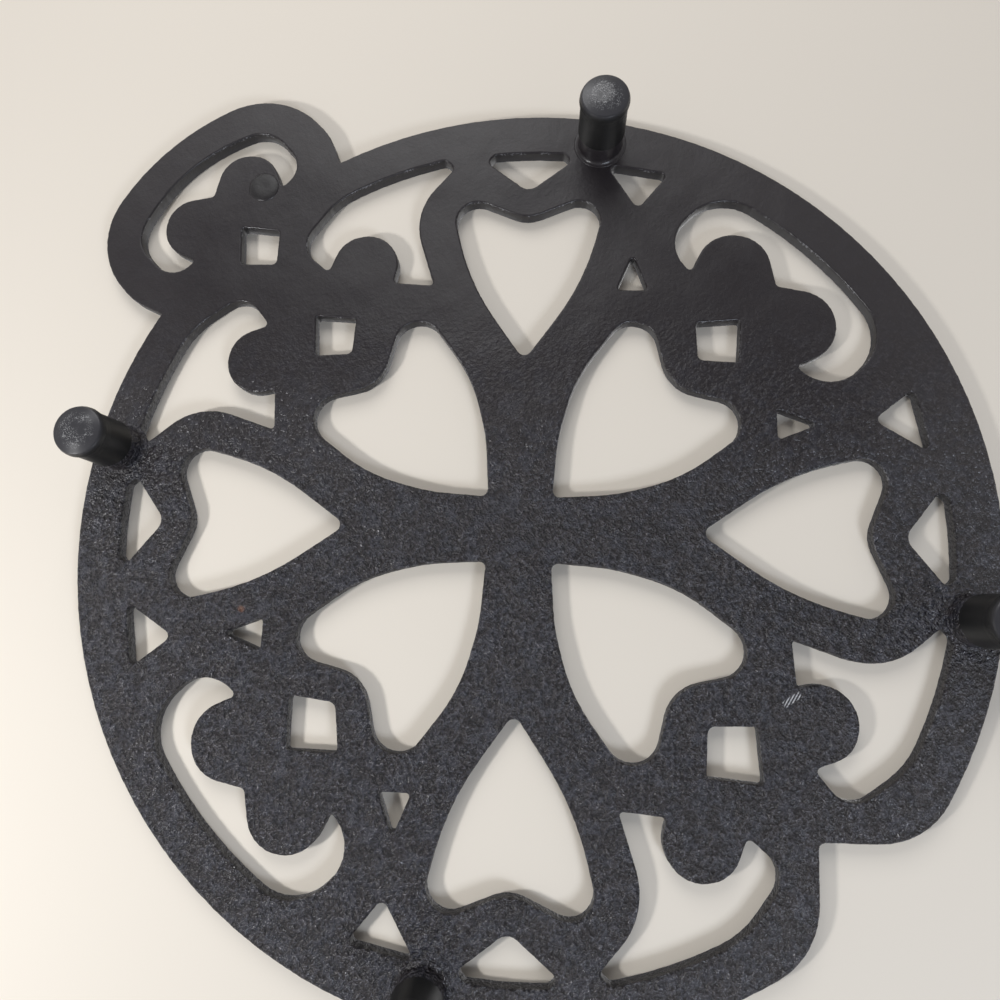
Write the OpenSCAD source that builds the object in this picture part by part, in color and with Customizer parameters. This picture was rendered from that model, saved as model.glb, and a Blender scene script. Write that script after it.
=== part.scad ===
// Openwork trivet: one plate with a ring, a cross, hearts, petals and trefoils, four legs and four foot caps.
// It stands on its caps. Z is up, the handle points along +Y, and the middle of its box is over the origin.

/* [Ring] */
// Outer radius of the ring
ring_radius = 101.6; // [90:0.1:112]
// Width of the ring's band
ring_band = 9.2; // [8:0.1:10.5]
// Thickness of the plate
plate_thickness = 3.2; // [2.6:0.1:6]
// Depth of the notch opposite the handle
notch_depth = 14.7; // [10:0.1:18]

/* [Openwork, in shares of the ring's inner radius] */
// Distance from the centre to the point of each heart
heart_start_share = 0.435; // [0.42:0.001:0.45]
// Length of each heart opening
heart_length_share = 0.424; // [0.39:0.001:0.43]
// Half the width of each heart opening
heart_half_width_share = 0.182; // [0.155:0.001:0.19]
// Distance from the centre to the point of each petal
petal_start_share = 0.117; // [0.108:0.001:0.14]
// Length of each petal opening
petal_length_share = 0.4675; // [0.42:0.0005:0.475]
// Half the width of each petal opening
petal_half_width_share = 0.196; // [0.17:0.001:0.205]
// Half the width of a crescent opening in the ring
crescent_half_width_share = 0.2835; // [0.26:0.0005:0.297]
// Depth of a crescent opening from the ring's inner edge to its tips
crescent_depth_share = 0.24; // [0.215:0.001:0.254]
// Distance from the centre to the inner corner of a kite hole
kite_start_share = 0.6075; // [0.6:0.0005:0.62]
// Length of a kite hole
kite_length_share = 0.1505; // [0.12:0.0005:0.155]
// Half the width of a kite hole
kite_half_width_share = 0.0765; // [0.055:0.0005:0.08]

/* [Handle] */
// Length of the handle beyond the ring
handle_length = 29.8; // [27:0.1:36]
// Half the width of the handle
handle_half_width = 31.8; // [29.5:0.1:35]
// Width of the handle's outer band
handle_band = 8.6; // [7:0.1:10]
// Half the width of the handle's crescent opening as a share of the handle's
grip_half_width_share = 0.689; // [0.63:0.001:0.72]
// Depth of the handle's crescent opening as a share of the handle's length
grip_depth_share = 0.681; // [0.61:0.001:0.72]
// Angle by which the handle sits off the line between two arms of the cross
handle_turn = 1.1; // [0:0.1:2]
// Radius of the round gate pad under the handle
pad_radius = 3.8; // [2.5:0.1:4.1]
// Height of the gate pad
pad_height = 0.5; // [0.3:0.1:1]

/* [Legs] */
// Height of the plate's underside over the surface that it stands on
foot_height = 16.5; // [13:0.1:24]
// Distance from the ring's outer edge in to each leg
foot_inset = 6.4; // [5.6:0.1:7.6]
// Angle of each leg past its arm of the cross
foot_angle = 10.2; // [9:0.1:12]
// Radius of the boss at the root of each leg
boss_radius = 6.1; // [5.5:0.1:6.5]
// Radius of the boss where it meets the cap
boss_end_radius = 5.1; // [4.9:0.1:5.3]
// Height of the boss
boss_height = 4.6; // [3:0.1:5.5]
// Radius of the leg where it leaves the boss
leg_root_radius = 3.4; // [3:0.1:4]
// Radius of the leg at its end
leg_tip_radius = 3; // [2.5:0.1:3.2]
// Rounding of the leg's end
leg_tip_round = 0.8; // [0.3:0.1:1.5]

/* [Foot caps] */
// Largest radius of the cap, at its foot
cap_foot_radius = 5.65; // [5.5:0.05:6.5]
// Radius of the cap's side just under its widest edge
cap_waist_radius = 5.3; // [4.8:0.05:5.4]
// Radius of the cap at its open rim
cap_rim_radius = 5.45; // [5.2:0.05:5.7]
// Thickness of the cap's closed end
cap_end_thickness = 3; // [2:0.1:5]
// Gap between the leg and the cap's bore
cap_fit_gap = 0.1; // [0.05:0.01:0.2]

/* [Hidden] */
$fn = 48;
flatness = ring_radius / 2600;
ring_inner = ring_radius - ring_band;
heart_start = heart_start_share * ring_inner;
heart_length = heart_length_share * ring_inner;
heart_half_width = heart_half_width_share * ring_inner;
petal_start = petal_start_share * ring_inner;
petal_length = petal_length_share * ring_inner;
petal_half_width = petal_half_width_share * ring_inner;
crescent_half_width = crescent_half_width_share * ring_inner;
crescent_depth = crescent_depth_share * ring_inner;
kite_start = kite_start_share * ring_inner;
kite_length = kite_length_share * ring_inner;
kite_half_width = kite_half_width_share * ring_inner;
handle_reach = ring_radius + handle_length;
grip_half_width = grip_half_width_share * handle_half_width;
grip_depth = grip_depth_share * handle_length;
foot_distance = ring_radius - foot_inset;
plate_top = foot_height + plate_thickness;
cap_top = foot_height - boss_height;
arms = 4;
quarter = 360 / arms;
half_quarter = quarter / 2;
corner_room_share = 0.98;

// Corner tables hold half an outline: share across, share along, rounding as a share across.
heart_shares = [[0, -0.025, 0.1], [0.78, 0.45, 3.5], [1.155, 1.075, 0.3], [0, 0.87, 0.48]];
petal_shares = [[0, -0.014, 0.08], [0.49, 0.222, 2.2], [0.9, 0.514, 2.1], [1.1, 1.11, 0.31], [0, 0.826, 0.53]];
kite_shares = [[0, 0, 0.2], [1, 0.44, 0.11], [0, 1, 0.07]];
// Each kite hole was cut by hand: its start, length and half width in shares of the usual ones.
kite_cut_shares = [[1.022, 0.927, 0.9], [0.992, 0.957, 0.92], [1.012, 1.105, 1.04], [0.975, 1.012, 1.14]];

// Crescent tables run inwards from the outer corner round the two lobes of the trefoil.
crescent_shares = [[0.99, 0.99, 0.325], [0.618, 1.018, 0.027], [0.756, 0.572, 0.318],
    [0.393, 0.212, 0.318], [0, 0.522, 0.04]];
grip_shares = [[0, -0.133, 1.92], [1, 0.256, 0.365], [0.986, 0.995, 0.26], [0.644, 0.99, 0.032],
    [0.81, 0.547, 0.34], [0.411, 0.182, 0.34], [0, 0.483, 0.046]];
crescent_arc = 10.5;
crescent_corner_share = 0.42;

// These tables are whole outlines in shares of the ring's inner radius.
bay_start_shares = [[0.273, 0.609, 0.0065], [0.368, 0.799, 0.162], [0.535, 0.813, 0.014]];
bay_end_shares = [[0.093, 0.942, 0.06], [0.104, 0.832, 0.01], [0.19, 0.872, 0.081],
    [0.273, 0.815, 0.081], [0.264, 0.723, 0.081], [0.2045, 0.688, 0.01]];
bay_arc_from = 31;
bay_arc_to = 18;
bay_tip_share = 0.02;
bay_tip_round_share = 0.014;
bay_turn_share = 0.057;
bay_turn_round_share = 0.22;
vee_shares = [[0, 0.883, 0.0325], [0.11, 0.968, 0.013], [0.09, 0.988, 0.011], [0, 0.9945, 0.99]];
gusset_shares = [[0.279, 0.831, 0.014], [0.356, 0.926, 0.011], [0.202, 0.955, 0.011]];
chip_shares = [[0.267, 0.703, 0.0065], [0.229, 0.609, 0.0065], [0.303, 0.609, 0.0065]];

// These tables are shares of the handle's half width and of its length, counted from its outer edge.
handle_shares = [[0, 0.09, 1.92], [1, -0.227, 0.62], [1, -0.882, 0.44]];
handle_root_angle = 16.5;
pad_shares = [0.338, -0.862];

// Kite hole at the root of the handle, along it in shares of a kite's length from the ring's outer edge.
grip_kite_shares = [[0, -1.0, 0.034], [0.192, -0.561, 0.024], [0, -0.03, 0.019]];

// The notch's table holds shares of the ring's radius: across, along from the centre, rounding.
notch_shares = [[0, 0, 0.012], [0.148, 0.996, 0.167]];
hump_angle = 15.5;

// The cap's profile table holds shares of its foot radius and its height, then the rounding share.
cap_shares = [[0.4, 0, 1], [0.93, 0.075, 0.1], [1, 0.165, 0.22], [0.985, 0.215, 0.3]];
cap_waist_shares = [0.32, 1];
cap_rim_round_share = 0.08;
boss_end_round_share = 0.08;

// Angle by which an outline turns at a corner, positive to the left.
function turn_at(before, here, after) =
    let(a = [here[0] - before[0], here[1] - before[1]],
        b = [after[0] - here[0], after[1] - here[1]])
    atan2(a[0] * b[1] - a[1] * b[0], a[0] * b[0] + a[1] * b[1]);

// Length that a corner's rounding takes from each of its two edges.
function taken(before, here, after) = here[2] * abs(tan(turn_at(before, here, after) / 2));

// Share of its rounding that a corner can have, so that two roundings never overlap on one edge.
function room(one, two, three, four) =
    let(edge = norm([three[0] - two[0], three[1] - two[1]]),
        wanted = taken(one, two, three) + taken(two, three, four))
    wanted <= corner_room_share * edge ? 1 : corner_room_share * edge / wanted;

// Points of one rounded corner: an arc that touches both of the corner's edges.
function corner_arc(before, here, after, fit) =
    let(radius = here[2] * fit,
        a = [here[0] - before[0], here[1] - before[1]],
        along = a / norm(a),
        turn = turn_at(before, here, after),
        start = [here[0], here[1]] - radius * abs(tan(turn / 2)) * along,
        centre = start + radius * sign(turn) * [-along[1], along[0]],
        step = 2 * acos(1 - min(0.5, flatness / max(radius, flatness))),
        steps = max(1, ceil(abs(turn) / step)))
    radius <= 0 || turn == 0 ? [[here[0], here[1]]] :
    [for (i = [0:steps]) let(t = turn * i / steps, v = start - centre)
        centre + [v[0] * cos(t) - v[1] * sin(t), v[0] * sin(t) + v[1] * cos(t)]];

// Points of a closed outline whose corners are rounded, each corner given as across, along, rounding.
function rounded(corners) =
    let(n = len(corners),
        rooms = [for (i = [0:n - 1])
            room(corners[(i + n - 1) % n], corners[i], corners[(i + 1) % n], corners[(i + 2) % n])])
    [for (i = [0:n - 1]) each corner_arc(corners[(i + n - 1) % n], corners[i], corners[(i + 1) % n],
        min(rooms[i], rooms[(i + n - 1) % n]))];

// The other half of an outline: corners off the middle line, mirrored and taken in reverse.
function mirrored(corners) =
    [for (i = [len(corners) - 1:-1:0]) if (corners[i][0] > 0) [-corners[i][0], corners[i][1], corners[i][2]]];

// A table of shares turned into lengths.
function sized(shares, across, start, along) =
    [for (s = shares) [s[0] * across, start + s[1] * along, s[2] * across]];

// A point beyond or before the place where a circle's tangent touches it.
function on_tangent(radius, angle, along) =
    [radius * sin(angle) + along * cos(angle), radius * cos(angle) - along * sin(angle)];

module outline(half) {
    polygon(rounded(concat(half, mirrored(half))));
}

module heart() {
    outline(sized(heart_shares, heart_half_width, heart_start, heart_length));
}

module petal() {
    outline(sized(petal_shares, petal_half_width, petal_start, petal_length));
}

module kite(cut) {
    outline(sized(kite_shares, cut[2] * kite_half_width, cut[0] * kite_start, cut[1] * kite_length));
}

// Crescent between a trefoil and the ring, with its outer edge on the ring's inner circle.
module crescent() {
    top = [0, ring_inner / cos(crescent_arc), ring_inner];
    corner_x = crescent_half_width;
    corner = [corner_x, top[1] - corner_x * tan(crescent_arc), crescent_corner_share * crescent_half_width];
    rest = sized(crescent_shares, crescent_half_width, ring_inner, -crescent_depth);
    outline(concat([top, corner], rest));
}

// Opening between a heart's rim, a trefoil's lobe and the ring, on one side of the middle line.
module bay() {
    middle = (bay_arc_from + bay_arc_to) / 2;
    spread = (bay_arc_from - bay_arc_to) / 2;
    tip = on_tangent(ring_inner, bay_arc_from, bay_tip_share * ring_inner);
    top = on_tangent(ring_inner / cos(spread), middle, 0);
    turn = on_tangent(ring_inner, bay_arc_to, -bay_turn_share * ring_inner);
    polygon(rounded(concat(
        sized(bay_start_shares, ring_inner, 0, ring_inner),
        [[tip[0], tip[1], bay_tip_round_share * ring_inner]],
        [[top[0], top[1], ring_inner]],
        [[turn[0], turn[1], bay_turn_round_share * ring_inner]],
        sized(bay_end_shares, ring_inner, 0, ring_inner))));
}

// Opening in the ring above the cleft of a heart.
module vee() {
    outline(sized(vee_shares, ring_inner, 0, ring_inner));
}

module gusset() {
    polygon(rounded(sized(gusset_shares, ring_inner, 0, ring_inner)));
}

module chip() {
    polygon(rounded(sized(chip_shares, ring_inner, 0, ring_inner)));
}

module grip_crescent() {
    outline(sized(grip_shares, grip_half_width, handle_reach - handle_band, -grip_depth));
}

module grip_kite() {
    outline([for (s = grip_kite_shares)
        [s[0] * handle_half_width, ring_radius + s[1] * kite_length, s[2] * handle_half_width]]);
}

// The handle's corners on one side, turned with it, from the middle of its outer edge to the ring.
function handle_side(side) =
    [for (h = handle_shares)
        let(x = side * h[0] * handle_half_width,
            y = handle_reach + h[1] * handle_length)
        [x * cos(handle_turn) - y * sin(handle_turn), x * sin(handle_turn) + y * cos(handle_turn),
            h[2] * handle_half_width]];

// Points along the ring's outer edge between two angles from the handle's line, the second one included.
function ring_arc(from, to) =
    let(steps = ceil(abs(to - from) / (2 * acos(1 - flatness / ring_radius))))
    [for (i = [0:steps]) let(t = from + (to - from) * i / steps) [ring_radius * sin(t), ring_radius * cos(t), 0]];

// Corner of the hump on one side of the notch.
function hump(side) =
    [side * notch_shares[1][0] * ring_radius, -notch_shares[1][1] * ring_radius, notch_shares[1][2] * ring_radius];

// The plate's outer edge in one line: handle, ring, notch and ring again.
function outer_points() =
    let(right = handle_side(1), left = handle_side(-1))
    rounded(concat(
        right,
        ring_arc(handle_root_angle - handle_turn, 180 - hump_angle),
        [hump(1), [0, notch_depth - ring_radius, notch_shares[0][2] * ring_radius], hump(-1)],
        ring_arc(180 + hump_angle, 360 - handle_root_angle - handle_turn),
        [for (i = [len(left) - 1:-1:1]) left[i]]));

// Shift along Y that puts the middle of the plate's box over the origin.
edge_heights = [for (p = outer_points()) p[1]];
box_shift = -(max(edge_heights) + min(edge_heights)) / 2;

// The openings that lie on both sides of a plain trefoil.
module trefoil_side_holes() {
    for (side = [0, 1]) mirror([side, 0, 0]) rotate(-half_quarter) {
        mirror([1, 0, 0]) gusset();
        mirror([1, 0, 0]) chip();
    }
}

module openings() {
    for (arm = [0:3]) rotate(half_quarter + quarter * arm) {
        heart();
        vee();
    }
    for (sector = [0:3]) rotate(quarter * sector) {
        petal();
        kite(kite_cut_shares[sector]);
    }
    for (sector = [1, 3]) rotate(quarter * sector) {
        crescent();
        trefoil_side_holes();
    }
    for (sector = [0, 2]) rotate(quarter * sector) for (side = [0, 1]) mirror([side, 0, 0]) bay();
    rotate(handle_turn) {
        grip_crescent();
        grip_kite();
    }
}

module plate() {
    linear_extrude(plate_thickness) difference() {
        polygon(outer_points());
        openings();
    }
}

// Boss and tapered leg in one turned profile, hanging down from the plate's underside.
module leg() {
    rotate_extrude() polygon(rounded([
        [0, foot_height + plate_thickness / 2, 0],
        [leg_root_radius, foot_height + plate_thickness / 2, 0],
        [boss_radius, foot_height + plate_thickness / 2, 0],
        [boss_end_radius, foot_height - boss_height, boss_end_round_share * boss_end_radius],
        [leg_root_radius, foot_height - boss_height, 0],
        [leg_tip_radius, cap_end_thickness, leg_tip_round],
        [0, cap_end_thickness, 0]]));
}

module at_foot(number) {
    translate([0, box_shift, 0]) rotate(half_quarter + quarter * number + foot_angle) translate([0, foot_distance, 0]) children();
}

module openwork_casting() {
    color([0.09, 0.09, 0.1]) union() {
        translate([0, box_shift, foot_height]) plate();
        for (number = [0:3]) at_foot(number) leg();
        translate([0, box_shift, foot_height - pad_height]) rotate(handle_turn)
            translate([-pad_shares[0] * handle_half_width, handle_reach + pad_shares[1] * handle_length])
            cylinder(r = pad_radius, h = pad_height * 2);
    }
}

// Rubber cap: a domed end with a crisp widest edge, a slimmer side and an open rim, and a tapered bore.
module foot_cap() {
    rim_round = cap_rim_round_share * cap_rim_radius;
    bore_root = leg_root_radius + cap_fit_gap;
    bore_tip = leg_tip_radius + cap_fit_gap;
    rotate_extrude() polygon(rounded(concat(
        [[0, 0, 0]],
        [for (s = cap_shares) [s[0] * cap_foot_radius, s[1] * cap_top, s[2] * cap_foot_radius]],
        [[cap_waist_radius, cap_waist_shares[0] * cap_top, cap_waist_shares[1] * cap_foot_radius]],
        [[cap_rim_radius, cap_top, rim_round]],
        [[bore_root, cap_top, 0]],
        [[bore_tip, cap_end_thickness, 0]],
        [[0, cap_end_thickness, 0]])));
}

module foot_cap_back_left() {
    color([0.05, 0.05, 0.055]) at_foot(0) foot_cap();
}

module foot_cap_front_left() {
    color([0.05, 0.05, 0.055]) at_foot(1) foot_cap();
}

module foot_cap_front_right() {
    color([0.05, 0.05, 0.055]) at_foot(2) foot_cap();
}

module foot_cap_back_right() {
    color([0.05, 0.05, 0.055]) at_foot(3) foot_cap();
}

openwork_casting();
foot_cap_back_left();
foot_cap_front_left();
foot_cap_front_right();
foot_cap_back_right();
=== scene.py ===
# %% [markdown]
# # A black iron trivet with heart openwork
#
# This lesson dresses a trivet that was already drawn as solids. The real one is a single
# sand casting, black and slightly rough, with a rubber cap pushed over each of its four legs.
# The solids bring the sizes. What is made here is what a foundry and a few years of use add:
# eased edges, cast grain, a dull black coat, a rust spot, scuffed rubber.
#
# The photograph looks at the underside, because the trivet lies on its pot side. Here it
# stands on its caps, so the camera looks up at it from below.

import math

import bpy
import bmesh
import numpy as np
from mathutils import Matrix, Vector
from mathutils.geometry import delaunay_2d_cdt


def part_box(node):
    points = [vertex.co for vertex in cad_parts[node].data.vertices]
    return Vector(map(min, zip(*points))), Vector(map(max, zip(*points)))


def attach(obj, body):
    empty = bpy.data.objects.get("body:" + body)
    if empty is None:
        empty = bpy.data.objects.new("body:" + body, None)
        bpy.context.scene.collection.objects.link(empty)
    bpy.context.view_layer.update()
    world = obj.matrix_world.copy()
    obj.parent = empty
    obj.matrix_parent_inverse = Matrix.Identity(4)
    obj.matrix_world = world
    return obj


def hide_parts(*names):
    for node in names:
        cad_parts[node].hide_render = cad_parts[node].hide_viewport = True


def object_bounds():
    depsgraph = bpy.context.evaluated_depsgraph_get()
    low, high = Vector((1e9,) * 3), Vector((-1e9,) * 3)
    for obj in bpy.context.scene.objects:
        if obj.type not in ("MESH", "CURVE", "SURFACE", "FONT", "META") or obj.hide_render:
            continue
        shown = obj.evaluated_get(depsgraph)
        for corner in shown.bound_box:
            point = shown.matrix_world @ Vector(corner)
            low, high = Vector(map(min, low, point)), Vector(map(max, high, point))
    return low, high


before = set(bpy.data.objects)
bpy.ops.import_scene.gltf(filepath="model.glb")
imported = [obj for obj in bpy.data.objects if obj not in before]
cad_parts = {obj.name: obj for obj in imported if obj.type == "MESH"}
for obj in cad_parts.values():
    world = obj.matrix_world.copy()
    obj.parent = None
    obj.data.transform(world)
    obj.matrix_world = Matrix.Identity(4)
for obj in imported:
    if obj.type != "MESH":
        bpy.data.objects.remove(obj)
solids_box = [list(corner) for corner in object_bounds()]
MM = 0.001
SQUARE = ((-1, -1), (1, -1), (1, 1), (-1, 1))
CORNERS = ("back_left", "front_left", "front_right", "back_right")
cap_middles = np.array([sum(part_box("foot_cap_" + corner), Vector()) / 2 for corner in CORNERS])
ring_centre = np.array([*cap_middles.mean(axis=0)[:2], 0])
PLATE_THICKNESS = 3.2 * MM
top_height = solids_box[1][2]
plate_bottom = top_height - PLATE_THICKNESS
print("solids:", sorted(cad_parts))
print("box in mm:", [[round(c / MM, 1) for c in corner] for corner in solids_box])
print("ring's centre in mm:", (ring_centre / MM).round(2).tolist())

# %% [markdown]
# ## The camera
#
# The picture was taken from about 150 mm away with a wide lens, so near things look big.
# The camera's place and turn were worked out once, by fitting the ring's and the openings'
# outlines to the picture. The place counts from the ring's centre, which is the middle of the
# four feet. The turn is given as three directions: `right` and `down` as the picture shows
# them, and `away` from the lens into the boards. They are turned into the trivet's axes
# here, because its handle points to the picture's upper left.

# %% Place the camera
SENSOR = 36.0
LENS = 24.48
NEAREST = 0.01
FARTHEST = 20.0
DIAGONAL = math.sqrt(0.5)
PICTURE_AXES = np.array([[-DIAGONAL, -DIAGONAL, 0], [DIAGONAL, -DIAGONAL, 0], [0, 0, 1]])
CAMERA_PLACE_MM = (8.12, -18.07, -131.99)
right = np.array([0.9969, -0.0329, 0.0715]) @ PICTURE_AXES
down = np.array([0.0206, 0.9858, 0.1667]) @ PICTURE_AXES
away = np.array([-0.0759, -0.1647, 0.9834]) @ PICTURE_AXES

lens_data = bpy.data.cameras.new("close_view")
lens_data.sensor_width = SENSOR
lens_data.lens = LENS
lens_data.clip_start = NEAREST
lens_data.clip_end = FARTHEST
camera = bpy.data.objects.new("close_view", lens_data)
bpy.context.scene.collection.objects.link(camera)
turn = Matrix([list(right), list(-down), list(-away)]).transposed()
camera_place = Vector(ring_centre) + Vector(CAMERA_PLACE_MM) * MM
camera.matrix_world = Matrix.Translation(camera_place) @ turn.to_4x4()
bpy.context.scene.camera = camera
print("camera looks along", [round(float(c), 3) for c in away])

# %% [markdown]
# ## Shader arithmetic
#
# A finish is mostly arithmetic on noise. Linking Math nodes by hand hides that arithmetic, so
# a small class wraps a socket: `1 - mask * 0.3` then adds the Math nodes by itself. Every
# other node comes from `Finish.node`, which takes its type, its settings and its inputs.

# %% A class for shader values
class Value:
    """A shader socket used as a number: each operator adds one Math node."""

    def __init__(self, finish, socket):
        self.finish = finish
        self.socket = socket

    def math(self, operation, *inputs):
        return self.finish.node("ShaderNodeMath", {"operation": operation}, dict(enumerate(inputs)))

    def __add__(self, other):
        return self.math("ADD", self, other)

    def __radd__(self, other):
        return self.math("ADD", other, self)

    def __sub__(self, other):
        return self.math("SUBTRACT", self, other)

    def __rsub__(self, other):
        return self.math("SUBTRACT", other, self)

    def __mul__(self, other):
        return self.math("MULTIPLY", self, other)

    def __rmul__(self, other):
        return self.math("MULTIPLY", other, self)

    def __pow__(self, other):
        return self.math("POWER", self, other)

    def sine(self):
        return self.math("SINE", self)

    def between(self, low, high):
        """0 below low, 1 above high, a smooth rise in between; high may be the lower one."""
        return self.finish.node(
            "ShaderNodeMapRange",
            {"interpolation_type": "SMOOTHSTEP"},
            {0: self, 1: low, 2: high, 3: 0.0, 4: 1.0},
        )


class Finish:
    """A material built node by node."""

    def __init__(self, name):
        self.material = bpy.data.materials.new(name)
        self.material.use_nodes = True
        self.tree = self.material.node_tree
        self.tree.nodes.clear()

    def node(self, kind, settings=None, inputs=None, output=0):
        made = self.tree.nodes.new(kind)
        for name, setting in (settings or {}).items():
            setattr(made, name, setting)
        for name, given in (inputs or {}).items():
            if isinstance(given, Value):
                self.tree.links.new(given.socket, made.inputs[name])
            else:
                made.inputs[name].default_value = given
        return Value(self, made.outputs[output])

    def place(self):
        """The point of the piece in its own axes, in metres."""
        return self.node("ShaderNodeTexCoord", output="Object")

    def noise(self, place, size, detail=2.0, roughness=0.5):
        """Soft noise from 0 to 1 whose lumps are about `size` metres apart."""
        return self.node(
            "ShaderNodeTexNoise",
            {},
            {"Vector": place, "Scale": 1 / size, "Detail": detail, "Roughness": roughness},
        )

    def mix(self, share, first, second):
        """A colour between two others."""
        return self.node("ShaderNodeMix", {"data_type": "RGBA"}, {0: share, 6: first, 7: second}, 2)

    def parts(self, place):
        """The x, y and z of a place."""
        return [self.node("ShaderNodeSeparateXYZ", {}, {0: place}, axis) for axis in "XYZ"]

    def surface(self, shader):
        end = self.tree.nodes.new("ShaderNodeOutputMaterial")
        self.tree.links.new(shader.socket, end.inputs["Surface"])
        return self.material


print("shader helpers:", Value.__name__, "and", Finish.__name__)

# %% [markdown]
# ## The stage
#
# A floor under the trivet would hide its underside from a camera below it. Theatre flats
# have the same problem, and are painted on one side only. Two flats are used here: a pale
# board over the trivet that only shows from below, where the real boards are, and a pale
# floor under it that only shows from above. Each one lets all light through, so neither
# shades the trivet, and the side that shows still catches the trivet's own shadow. Far away
# each flat thins out, so that it ends without a hard horizon. The board all but touches the
# top face, so a mirrored ray shorter than a millimetre or so passes through it. Otherwise
# the top face would mirror its own dark contact with the board.

# %% Two one-sided flats
BOARD_COLOUR = (0.80, 0.74, 0.65, 1)
FLOOR_COLOUR = (0.78, 0.77, 0.75, 1)
FLAT_SIZE = 6.0
THIN_FROM = 0.45
THIN_TO = 2.6
TOUCHING = 1.0 * MM
BOARD_GAP = 0.05 * MM


def one_sided_flat(name, height, faces_up, colour):
    """A square plane with four corners; its normal is up or down, and only that side shows."""
    half = FLAT_SIZE / 2
    corners = [(half * a, half * b, height) for a, b in SQUARE]
    mesh = bpy.data.meshes.new(name)
    mesh.from_pydata(corners, [], [(0, 1, 2, 3) if faces_up else (3, 2, 1, 0)])
    flat = bpy.data.objects.new(name, mesh)
    bpy.context.scene.collection.objects.link(flat)
    paint = Finish(name)
    seen = paint.node("ShaderNodeLightPath", output="Is Camera Ray")
    mirrored = paint.node("ShaderNodeLightPath", output="Is Glossy Ray")
    reach = paint.node("ShaderNodeLightPath", output="Ray Length").between(TOUCHING, TOUCHING * 3)
    through = paint.node("ShaderNodeLightPath", output="Is Transmission Ray")
    behind = paint.node("ShaderNodeNewGeometry", output="Backfacing")
    x, y = paint.parts(paint.place())[:2]
    near = ((x * x + y * y) ** 0.5).between(THIN_TO, THIN_FROM)
    coat = paint.node("ShaderNodeBsdfDiffuse", {}, {"Color": colour})
    clear = paint.node("ShaderNodeBsdfTransparent")
    share = (seen + (mirrored + through) * reach) * (1 - behind) * near
    shown = paint.node("ShaderNodeMixShader", {}, {0: share, 1: clear, 2: coat})
    mesh.materials.append(paint.surface(shown))


one_sided_flat("board", top_height + BOARD_GAP, False, BOARD_COLOUR)
one_sided_flat("floor", 0.0, True, FLOOR_COLOUR)
print("the board shows from below at", round(top_height / MM, 2), "mm")

# %% [markdown]
# ## The light
#
# The shadows on the boards lie right of each left edge, wider than the plate is thick, so a
# small bright window stands low at the picture's left. Softer ones at the top and at the
# lower right, and a pale sky, fill the rest. All of them lie on the camera's side, which is
# below. A black card round the lens keeps the middle of the iron darker than its rim, as the
# camera itself did. Two more lamps stand over the trivet for anyone who looks at the top side.

# %% Lamps
def soft_lamp(name, place, aim, size, power):
    """A square area lamp at `place`, turned so that it looks at `aim`; places in metres."""
    data = bpy.data.lights.new(name, "AREA")
    data.size = size
    data.energy = power
    lamp = bpy.data.objects.new(name, data)
    lamp.location = place
    lamp.rotation_euler = (Vector(aim) - Vector(place)).to_track_quat("-Z", "Y").to_euler()
    lamp.visible_camera = False
    bpy.context.scene.collection.objects.link(lamp)
    return lamp


def in_picture(across, downwards, nearer):
    """The ring's centre plus steps in metres along the picture's own directions."""
    return tuple(ring_centre + np.array([across, downwards, -nearer]) @ PICTURE_AXES)


middle = (ring_centre[0], ring_centre[1], top_height)
window_left = soft_lamp("window_left", in_picture(-0.25, 0.12, 0.19), middle, 0.035, 0.54)
soft_lamp("window_top", in_picture(-0.09, -0.41, 0.34), middle, 0.34, 1.25)
window_right = soft_lamp("window_right", in_picture(0.22, 0.30, 0.25), middle, 0.11, 0.77)
window_right.data.color = (0.80, 0.88, 1.0)
soft_lamp("over_left", (-0.9, -0.7, 1.3), middle, 1.2, 15.0)
soft_lamp("over_right", (1.0, 0.5, 1.2), middle, 1.2, 8.0)

# %% The black card round the lens
CARD_HALF = 0.09
CARD_BEHIND = 0.004
CARD_COLOUR = (0.03, 0.03, 0.03, 1)
card_mesh = bpy.data.meshes.new("black_card")
card_place = np.array(camera_place) - CARD_BEHIND * away
card_corners = [card_place + CARD_HALF * (a * right + b * down) for a, b in SQUARE]
card_mesh.from_pydata([tuple(c) for c in card_corners], [], [(0, 1, 2, 3)])
card = bpy.data.objects.new("black_card", card_mesh)
bpy.context.scene.collection.objects.link(card)
card.visible_camera = False
card_paint = Finish("black_card")
card_coat = card_paint.node("ShaderNodeBsdfDiffuse", {}, {"Color": CARD_COLOUR})
card_mesh.materials.append(card_paint.surface(card_coat))
print("card's side in mm:", round(2 * CARD_HALF / MM))

# %% The sky
SKY_COLOUR = (0.97, 0.96, 1.0, 1)
SKY_STRENGTH = 0.32
sky = bpy.data.worlds.new("sky")
sky.use_nodes = True
sky.node_tree.nodes["Background"].inputs["Color"].default_value = SKY_COLOUR
sky.node_tree.nodes["Background"].inputs["Strength"].default_value = SKY_STRENGTH
bpy.context.scene.world = sky
bpy.context.scene.view_settings.view_transform = "Standard"
print("sky's strength:", SKY_STRENGTH)
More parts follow.
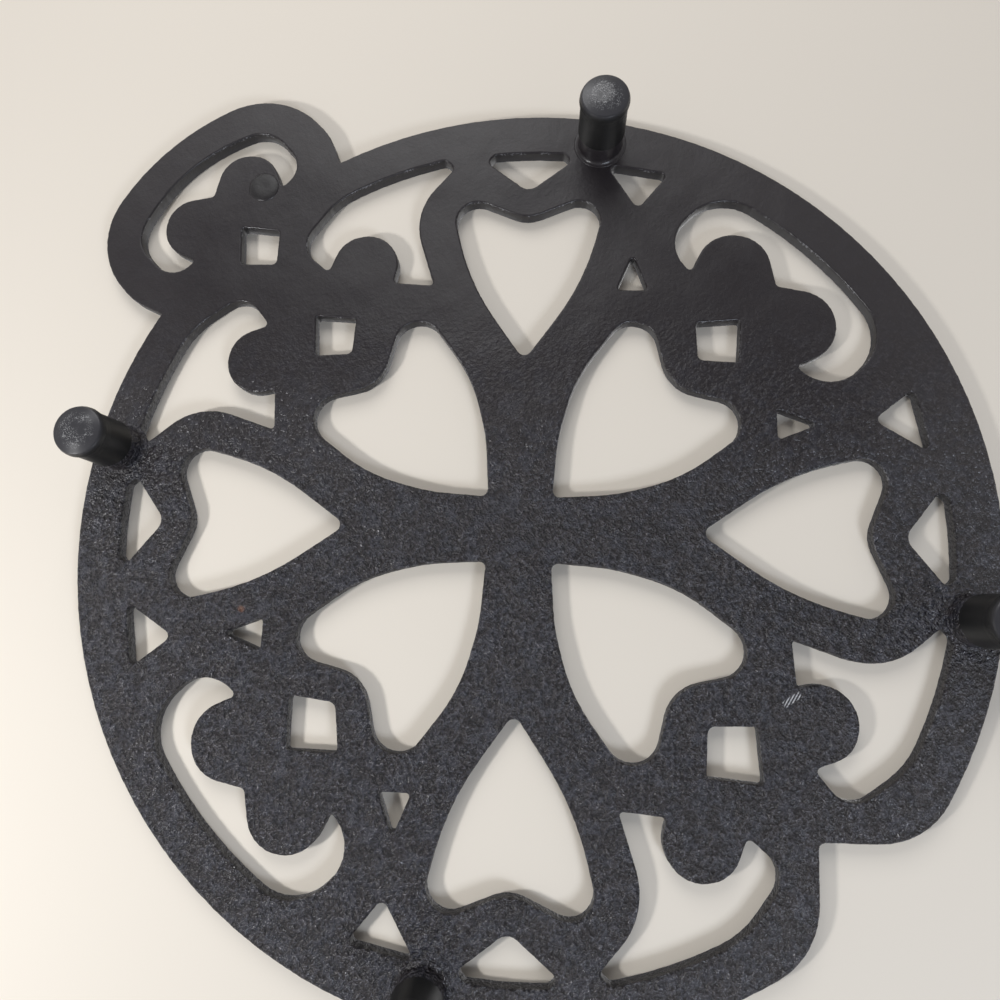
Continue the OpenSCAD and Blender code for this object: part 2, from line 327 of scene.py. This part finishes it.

# %% [markdown]
# ## The black iron finish
#
# Sand leaves its own grain in iron: grains of about half a millimetre, over slow waves
# from the uneven mould. A bump node carries the sizes. Grain shows by the light that it
# catches, and the same noise also paints it: the tops of the grains are painted paler and
# made glossier, partly as rubbed wear and partly as painted highlight, and the low spots are
# painted darker as painted shade. Patches of the coat are blued by heat. The handle's side
# of this casting came out smoother, so the grain fades towards it. The walls of the openings
# are painted a little darker as painted shade, and are made duller. Pale specks in a thin
# band along the underside edges are painted highlights where the eased edge catches light.
# One rust spot, one scrape of short parallel strokes and the dull face of the gate pad
# were copied at their real places.

# %% Iron colours and sizes
COAT = (0.022, 0.0185, 0.0205, 1)
BLUED_COAT = (0.029, 0.029, 0.038, 1)
RUBBED_AND_LIT_TOPS = (0.085, 0.082, 0.094, 1)
SHADED_LOW_SPOTS = (0.006, 0.005, 0.007, 1)
SHADED_WALL_COAT = (0.018, 0.016, 0.017, 1)
PAINTED_EDGE_GLINTS = (0.20, 0.20, 0.21, 1)
PAD_FACE = (0.010, 0.010, 0.010, 1)
RUST = (0.17, 0.068, 0.032, 1)
BARE_METAL = (0.50, 0.50, 0.51, 1)
ROUGHNESS = 0.34
RUBBED_SHINE = 0.12
WAVE_SHINE = 0.05
WALL_DULL = 0.25
PAD_DULL = 0.15
GRAIN_DEPTH = 0.55 * MM
GRAIN_SHARE = 0.4
PITS_SHARE = 2.2
LUMPS_SHARE = 0.9
GRAIN = 0.50 * MM
PITS = 0.85 * MM
LUMPS = 2.4 * MM
PATCHES = 4.0 * MM
WAVES = 14.0 * MM
SMOOTH_TO = -58.0 * MM
GRAINY_FROM = 12.0 * MM
SMOOTH_SIDE = 0.05
WALL_EDGE = 0.45 * MM
GLINT_BAND = (0.03 * MM, 0.15 * MM, 0.4 * MM, 0.8 * MM)
RUST_PLACE = ring_centre + np.array([57.1, 29.6, 0]) * MM
RUST_RADIUS = 1.1 * MM
RUST_RAGGED = 1.2 * MM
SCRAPE_PLACE = ring_centre + np.array([-16.3, -64.4, 0]) * MM
SCRAPE_ALONG = np.array([-0.984, -0.181])
SCRAPE_HALF_LENGTH = 2.5 * MM
SCRAPE_HALF_WIDTH = 0.8 * MM
STROKES_ACROSS = np.array([0.262, 0.969])
STROKE_SPACING = 0.56 * MM
PAD_RADIUS = 3.8 * MM
PAD_FADE = 0.3 * MM
PAD_PLACE = ring_centre + np.array([-12.76, 105.50, 0]) * MM
print("iron grain in mm:", GRAIN / MM, PITS / MM, LUMPS / MM, PATCHES / MM, WAVES / MM)


# %% Build the iron finish
def far_along(x, y, place, direction):
    """How far a shader place lies from `place` along a unit direction: (p - place) . direction."""
    dx, dy = (float(share) for share in direction)
    return x * dx + y * dy - float(place[0] * dx + place[1] * dy)


def apart(x, y, place):
    """Squared distance from a line that stands at `place`: (x - px)^2 + (y - py)^2."""
    dx = far_along(x, y, place, (1, 0))
    dy = far_along(x, y, place, (0, 1))
    return dx * dx + dy * dy


def black_iron():
    """Coat colour by patches, then grain, walls, grit, pad, rust and scrape mixed over it in turn."""
    iron = Finish("black_iron")
    place = iron.place()
    x, y, z = iron.parts(place)
    grain = iron.noise(place, GRAIN, 1.5, 0.65)
    pits = iron.noise(place, PITS, 1.5, 0.6)
    lumps = iron.noise(place, LUMPS, 2.0, 0.55)
    patches = iron.noise(place, PATCHES, 3.0, 0.6)
    waves = iron.noise(place, WAVES, 2.0, 0.5)
    towards_front = far_along(x, y, ring_centre, (DIAGONAL, -DIAGONAL))
    grainy = towards_front.between(SMOOTH_TO, GRAINY_FROM) * (1 - SMOOTH_SIDE) + SMOOTH_SIDE
    height = (grain * GRAIN_SHARE + pits * PITS_SHARE + lumps * LUMPS_SHARE) * grainy + waves
    bump = iron.node("ShaderNodeBump", {}, {"Strength": 1.0, "Distance": GRAIN_DEPTH, "Height": height})

    # Grain tops are painted paler: partly rubbed wear, partly painted highlight.
    rubbed_and_lit = (grain * 0.5 + pits * 0.5).between(0.52, 0.64) * grainy
    # The low spots between grains are painted darker: painted shade.
    low = pits.between(0.50, 0.38) * grainy
    blued = patches.between(0.44, 0.60) * grainy
    tone = iron.mix(blued, COAT, BLUED_COAT)
    coat = iron.mix(rubbed_and_lit, tone, RUBBED_AND_LIT_TOPS)
    coat = iron.mix(low * 0.8, coat, SHADED_LOW_SPOTS)

    # The walls of the openings are painted darker as painted shade, and are made duller.
    wall = z.between(plate_bottom + WALL_EDGE * 0.4, plate_bottom + WALL_EDGE)
    wall = wall * z.between(top_height - WALL_EDGE * 0.4, top_height - WALL_EDGE)
    coat = iron.mix(wall, coat, SHADED_WALL_COAT)
    # Pale specks in a thin band along the underside edges: painted highlights where the eased edge catches
    # light.
    glint_from, glint_full, glint_fade, glint_end = (plate_bottom + rise for rise in GLINT_BAND)
    edge = z.between(glint_from, glint_full) * z.between(glint_end, glint_fade)
    edge_glints = edge * patches.between(0.50, 0.60) * grain.between(0.52, 0.60)
    coat = iron.mix(edge_glints * 0.7, coat, PAINTED_EDGE_GLINTS)

    on_pad = apart(x, y, PAD_PLACE).between((PAD_RADIUS * 1.06) ** 2, (PAD_RADIUS * 0.8) ** 2)
    on_pad = on_pad * z.between(plate_bottom + PAD_FADE, plate_bottom)
    coat = iron.mix(on_pad * 0.6, coat, PAD_FACE)

    rust_reach = apart(x, y, RUST_PLACE) ** 0.5 + (lumps - 0.5) * RUST_RAGGED
    rust = rust_reach.between(RUST_RADIUS, RUST_RADIUS * 0.4)
    coat = iron.mix(rust * 0.6, coat, RUST)

    along = far_along(x, y, SCRAPE_PLACE, SCRAPE_ALONG)
    across = far_along(x, y, SCRAPE_PLACE, (-SCRAPE_ALONG[1], SCRAPE_ALONG[0]))
    strokes = far_along(x, y, SCRAPE_PLACE, STROKES_ACROSS) * (2 * math.pi / STROKE_SPACING)
    scrape = (along * along).between(SCRAPE_HALF_LENGTH**2, SCRAPE_HALF_LENGTH**2 * 0.4)
    scrape = scrape * (across * across).between(SCRAPE_HALF_WIDTH**2, SCRAPE_HALF_WIDTH**2 * 0.3)
    scrape = scrape * strokes.sine().between(-0.2, 0.7)
    coat = iron.mix(scrape * lumps.between(0.35, 0.50), coat, BARE_METAL)

    rough = ROUGHNESS - rubbed_and_lit * RUBBED_SHINE - waves.between(0.3, 0.7) * WAVE_SHINE
    rough = rough + wall * WALL_DULL + on_pad * PAD_DULL
    shader = iron.node(
        "ShaderNodeBsdfPrincipled",
        {},
        {"Base Color": coat, "Roughness": rough, "Specular IOR Level": 0.5, "Normal": bump},
    )
    return iron.surface(shader)


IRON = black_iron()
print("iron nodes:", len(IRON.node_tree.nodes))

# %% [markdown]
# ## The openwork plate
#
# The solid plate has knife-sharp edges, and real cast edges are eased: a narrow highlight
# runs along each one. A Bevel modifier could round them, but the plate has hundreds of short
# edges in its corners, and the modifier then shrinks the whole bevel to suit the shortest.
# So the plate is drawn again from its own outline. The edges that bound the solid's top face
# are found, and a profile with two quarter rounds is carried along them. What is left of the
# top and the underside is filled by a triangulation between the innermost lines.

# %% Find the outline on the solid's top face
EASE = 0.42 * MM
SUPPORT = 0.08 * MM
ROUND_STEPS = 4
SAME_POINT = 0.0005 * MM
SAME_HEIGHT = 0.001 * MM
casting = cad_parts["openwork_casting"]


def outline_edges(mesh, height):
    """Edges of the flat face at `height` that only one triangle uses, with the metal on the left."""
    raw = np.empty(len(mesh.vertices) * 3)
    mesh.vertices.foreach_get("co", raw)
    corners = np.empty(len(mesh.loops), dtype=np.int64)
    mesh.loops.foreach_get("vertex_index", corners)
    keys = np.round(raw.reshape(-1, 3) / SAME_POINT).astype(np.int64)
    merged, number = np.unique(keys, axis=0, return_inverse=True)
    points = merged * SAME_POINT
    triangles = number.reshape(-1)[corners].reshape(-1, 3)
    flat = (np.abs(points[triangles][:, :, 2] - height) < SAME_HEIGHT).all(axis=1)
    level = triangles[flat]
    sides = np.concatenate([level[:, [0, 1]], level[:, [1, 2]], level[:, [2, 0]]])
    code = sides[:, 0] * len(points) + sides[:, 1]
    back = sides[:, 1] * len(points) + sides[:, 0]
    rim = sides[~np.isin(code, back)]
    used, compact = np.unique(rim, return_inverse=True)
    return points[used][:, :2], compact.reshape(-1, 2)


rim_points, rim_edges = outline_edges(casting.data, top_height)
print("outline:", len(rim_points), "points,", len(rim_edges), "edges")

# %% [markdown]
# ## The uneven outline
#
# The outline of a real casting is never quite true, because grains of sand fall away from
# the mould's edge. The outline is cut into short steps, and each point is moved a little into
# the metal by a sum of sines of its place. It only moves inwards, so the plate never grows
# past its solid.

# %% Roughen the outline
OUTLINE_STEP = 0.5 * MM
WANDER = 0.13 * MM
WANDER_WAVES = np.array([[1.7, 0.7], [-0.8, 2.1], [2.9, -1.6], [1.1, 3.4], [4.6, 2.3], [-2.9, 4.1]]) / MM
WANDER_STARTS = [0.3, 1.7, 4.1, 2.6, 0.9, 5.2]


def cut_finely(points, edges, step):
    """Equal steps on each edge: start + share * (end - start), with shares 0, 1/n, 2/n and so on."""
    start = points[edges[:, 0]]
    reach = points[edges[:, 1]] - start
    counts = np.ceil(np.linalg.norm(reach, axis=1) / step).astype(int)
    first = np.cumsum(counts) - counts
    owner = np.repeat(np.arange(len(edges)), counts)
    share = (np.arange(counts.sum()) - first[owner]) / counts[owner]
    fine = start[owner] + share[:, None] * reach[owner]
    first_of_point = np.zeros(len(points), dtype=int)
    first_of_point[edges[:, 0]] = first
    following = np.arange(counts.sum()) + 1
    following[first + counts - 1] = first_of_point[edges[:, 1]]
    return fine, np.stack([np.arange(counts.sum()), following], axis=1)


def wander(points):
    """0 to 1: a half plus half the mean of sin(k . p + start) over six wave directions k."""
    return 0.5 + 0.5 * np.sin(points @ WANDER_WAVES.T + WANDER_STARTS).mean(axis=1)


rim_points, rim_edges = cut_finely(rim_points, rim_edges, OUTLINE_STEP)
print("cut into", len(rim_points), "points")


# %% Carry the profile along the outline
def towards_metal(points, edges):
    """Mitre at each outline point: (n1 + n2) / (1 + n1.n2), from the left normals of its two edges."""
    along = points[edges[:, 1]] - points[edges[:, 0]]
    along = along / np.linalg.norm(along, axis=1, keepdims=True)
    left = np.stack([-along[:, 1], along[:, 0]], axis=1)
    before = np.zeros_like(points)
    after = np.zeros_like(points)
    before[edges[:, 1]] = left
    after[edges[:, 0]] = left
    return (before + after) / (1 + (before * after).sum(axis=1, keepdims=True))


def edge_profile(top, bottom):
    """Rows of (inset, height) down a wall, with a quarter round at each end.

    The upper round is inset = ease (1 - sin a), height = top - ease (1 - cos a).
    """
    angle = np.linspace(0, math.pi / 2, ROUND_STEPS + 1)
    upper = np.stack([EASE * (1 - np.sin(angle)), top - EASE * (1 - np.cos(angle))], axis=1)
    lower = np.stack([upper[::-1, 0], bottom + top - upper[::-1, 1]], axis=1)
    inner = EASE + SUPPORT
    return np.concatenate([[[inner, top]], upper, lower, [[inner, bottom]]])


def carry_profile(points, edges, rows):
    """Grid of rows by outline points: point + inset * mitre, at the row's height."""
    mitre = towards_metal(points, edges)
    flat = points[None] + rows[:, 0][:, None, None] * mitre[None]
    height = np.broadcast_to(rows[:, 1][:, None, None], flat.shape[:2] + (1,))
    grid = np.concatenate([flat, height], axis=2)
    count = len(points)
    first = np.arange(len(rows) - 1)[:, None] * count
    start = first + edges[:, 0]
    end = first + edges[:, 1]
    walls = np.stack([start, start + count, end + count, end], axis=2).reshape(-1, 4)
    return grid, walls


inwards = (WANDER * wander(rim_points))[:, None]
rim_points = rim_points + towards_metal(rim_points, rim_edges) * inwards
profile = edge_profile(top_height, plate_bottom)
rim_grid, rim_walls = carry_profile(rim_points, rim_edges, profile)
print("wall faces:", len(rim_walls))


# %% Fill the flat faces
CLOSEST = 1e-9


def fill_between(points, edges):
    """Triangles between all the lines, less those whose middle lies off the metal.

    A ray from the middle along x crosses the lines an odd number of times on the metal.
    """
    found = delaunay_2d_cdt([Vector(p) for p in points.tolist()], edges.tolist(), [], 0, CLOSEST)
    origin = np.array([group[0] for group in found[3]])
    triangles = origin[np.array(found[2])]
    centre = points[triangles].mean(axis=1)
    a = points[edges[:, 0]]
    b = points[edges[:, 1]]
    spans = (a[:, 1] > centre[:, None, 1]) != (b[:, 1] > centre[:, None, 1])
    slope = (b[:, 0] - a[:, 0]) / np.where(b[:, 1] == a[:, 1], 1, b[:, 1] - a[:, 1])
    crossing = a[:, 0] + (centre[:, None, 1] - a[:, 1]) * slope
    inside = (spans & (crossing > centre[:, None, 0])).sum(axis=1) % 2 == 1
    return triangles[inside]


flat_triangles = fill_between(rim_grid[0][:, :2], rim_edges)
print("triangles on each flat face:", len(flat_triangles))


# %% Put the plate together
DOUBLES = 0.0002 * MM


def new_piece(name, points, faces, material):
    """A mesh from whole arrays, its doubles merged, smooth, riding on the casting's body."""
    mesh = bpy.data.meshes.new(name)
    mesh.from_pydata(points.tolist(), [], faces)
    tidy = bmesh.new()
    tidy.from_mesh(mesh)
    bmesh.ops.remove_doubles(tidy, verts=tidy.verts, dist=DOUBLES)
    bmesh.ops.recalc_face_normals(tidy, faces=tidy.faces)
    tidy.to_mesh(mesh)
    tidy.free()
    mesh.polygons.foreach_set("use_smooth", [True] * len(mesh.polygons))
    mesh.materials.append(material)
    piece = bpy.data.objects.new(name, mesh)
    bpy.context.scene.collection.objects.link(piece)
    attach(piece, "root")
    print(name, "faces:", len(mesh.polygons))
    return piece


last_row = (len(profile) - 1) * len(rim_points)
underside = flat_triangles[:, ::-1] + last_row
plate_faces = rim_walls.tolist() + flat_triangles.tolist() + underside.tolist()
plate = new_piece("plate", rim_grid.reshape(-1, 3), plate_faces, IRON)
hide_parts("openwork_casting")

# %% [markdown]
# ## What the windows' light meets
#
# The caps stand far out towards the two windows, and each would draw a long second shadow
# over the boards that the picture doesn't have. Light linking limits what blocks a lamp, so
# the plate alone shades the boards from these two.

# %% Let only the plate shade the boards
shading = bpy.data.collections.new("shading")
shading.objects.link(plate)
window_left.light_linking.blocker_collection = shading
window_right.light_linking.blocker_collection = shading

# %% [markdown]
# ## Legs and the gate pad
#
# Each leg grows out of a low boss under the ring, and a sand casting never has a sharp inner
# corner there: a small hollow round leads from the plate into the boss. All of it is turned,
# so one profile carried round an axis draws it. The round pad under the handle is where
# the iron ran in. It was snapped off and ground, so its face is slightly dished.

# %% Turned pieces
TURN_STEPS = 96
ARC_STEPS = 6


def turned(profile_points, centre):
    """Grid of profile rows by angles: x = cx + r cos a, y = cy + r sin a, z = the row's height."""
    profile_points = np.asarray(profile_points, dtype=float)
    angle = np.linspace(0, 2 * math.pi, TURN_STEPS, endpoint=False)
    x = centre[0] + profile_points[:, :1] * np.cos(angle)
    y = centre[1] + profile_points[:, :1] * np.sin(angle)
    z = np.broadcast_to(profile_points[:, 1:], x.shape)
    points = np.stack([x, y, z], axis=2).reshape(-1, 3)
    row = np.arange(len(profile_points) - 1)[:, None] * TURN_STEPS
    here = np.arange(TURN_STEPS)
    following = (here + 1) % TURN_STEPS
    below = row + TURN_STEPS
    faces = np.stack([row + here, row + following, below + following, below + here], axis=2)
    return points, faces.reshape(-1, 4).tolist()


def quarter(centre_r, centre_z, radius, start, end):
    """Arc in the profile: r = cr + radius cos a, z = cz + radius sin a, a in degrees."""
    angle = np.radians(np.linspace(start, end, ARC_STEPS + 1))
    return np.stack([centre_r + radius * np.cos(angle), centre_z + radius * np.sin(angle)], axis=1)


print("steps round a turned piece:", TURN_STEPS)


# %% The four legs
BOSS_RADIUS = 5.15 * MM
BOSS_HEIGHT = 4.6 * MM
BOSS_ROUND = 0.4 * MM
ROOT_ROUND = 1.0 * MM
LEG_ROOT = 3.4 * MM
LEG_TIP = 3.0 * MM
LEG_END = 3.0 * MM
LEG_CHAMFER = 0.5 * MM
boss_low = plate_bottom - BOSS_HEIGHT
leg_tip = [[LEG_TIP, LEG_END + LEG_CHAMFER], [LEG_TIP - LEG_CHAMFER, LEG_END], [0, LEG_END]]
leg_profile = np.concatenate([
    [[0, plate_bottom + ROOT_ROUND]],
    quarter(BOSS_RADIUS + ROOT_ROUND, plate_bottom - ROOT_ROUND, ROOT_ROUND, 84, 180),
    quarter(BOSS_RADIUS - BOSS_ROUND, boss_low + BOSS_ROUND, BOSS_ROUND, 0, -90),
    [[LEG_ROOT, boss_low]],
    leg_tip,
])
for corner, middle_of_cap in zip(CORNERS, cap_middles):
    leg_points, leg_faces = turned(leg_profile, middle_of_cap)
    leg = new_piece("leg_" + corner, leg_points, leg_faces, IRON)
    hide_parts("openwork_casting")

# %% The gate pad
PAD_HEIGHT = 0.5 * MM
PAD_DISH = 0.12 * MM
PAD_ROOT = 0.1 * MM
MOUND_ROWS = 13


def mound(radius, height, dish):
    """Rows from rim to middle: z = bottom - height (1 - t^4) + dish (1 - t)^2, t = r / radius."""
    share = np.linspace(1, 0, MOUND_ROWS)
    drop = height * (1 - share**4) - dish * (1 - share) ** 2
    return np.stack([radius * share, plate_bottom - drop], axis=1)


pad_root = [[0, plate_bottom + PAD_HEIGHT], [PAD_RADIUS, plate_bottom + PAD_ROOT]]
pad_profile = np.concatenate([pad_root, mound(PAD_RADIUS, PAD_HEIGHT, PAD_DISH)])
pad_points, pad_faces = turned(pad_profile, PAD_PLACE)
pad = new_piece("gate_pad", pad_points, pad_faces, IRON)
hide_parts("openwork_casting")

# %% [markdown]
# ## The rubber caps
#
# A moulded rubber cap is black where nothing touches it, and grey and scuffed on the end
# that it slides on. That grey end is partly scuffing and partly painted light, where the end
# faces the light. The solids already have the cap's waist and domed end, so they stay, and
# only their material changes. The scuffed patch follows the height above the table, broken
# up by noise so that its edge isn't a ruled line.

# %% Rubber
SCUFF_AND_LIGHT_TOP = 1.9 * MM
SCUFF_MIDDLE = 0.7 * MM
SPECKLE = 0.30 * MM
WORN_PATCH = 2.6 * MM
RELIEF_DEPTH = 0.05 * MM
CLEAN_RUBBER = (0.005, 0.005, 0.0055, 1)
SCUFFED_AND_LIT_RUBBER = (0.042, 0.041, 0.045, 1)
RUBBER_DUST = (0.38, 0.38, 0.38, 1)


def black_rubber():
    """Clean sides, a grey end by height (scuffing and painted light), and pale speckles where the end is
    worn.
    """
    rubber = Finish("black_rubber")
    place = rubber.place()
    z = rubber.parts(place)[2]
    speckle = rubber.noise(place, SPECKLE, 3.0, 0.7)
    patch = rubber.noise(place, WORN_PATCH, 2.0, 0.5)
    # The end is painted grey by height: partly scuffing, partly painted light on the end that faces the
    # light.
    low = z.between(SCUFF_AND_LIGHT_TOP, SCUFF_AND_LIGHT_TOP * 0.4)
    worn = z.between(SCUFF_MIDDLE, SCUFF_MIDDLE * 0.2) * patch.between(0.32, 0.58)
    colour = rubber.mix(low, CLEAN_RUBBER, SCUFFED_AND_LIT_RUBBER)
    colour = rubber.mix(worn * speckle.between(0.52, 0.62) * 0.8, colour, RUBBER_DUST)
    relief = speckle * worn + patch * 0.4
    bump = rubber.node("ShaderNodeBump", {}, {"Strength": 0.5, "Distance": RELIEF_DEPTH, "Height": relief})
    shader = rubber.node(
        "ShaderNodeBsdfPrincipled",
        {},
        {"Base Color": colour, "Roughness": 0.55 - low * 0.25, "Specular IOR Level": 0.4, "Normal": bump},
    )
    return rubber.surface(shader)


RUBBER = black_rubber()
for corner in CORNERS:
    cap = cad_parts["foot_cap_" + corner]
    cap.data.materials.clear()
    cap.data.materials.append(RUBBER)
print("rubber caps:", len(CORNERS))
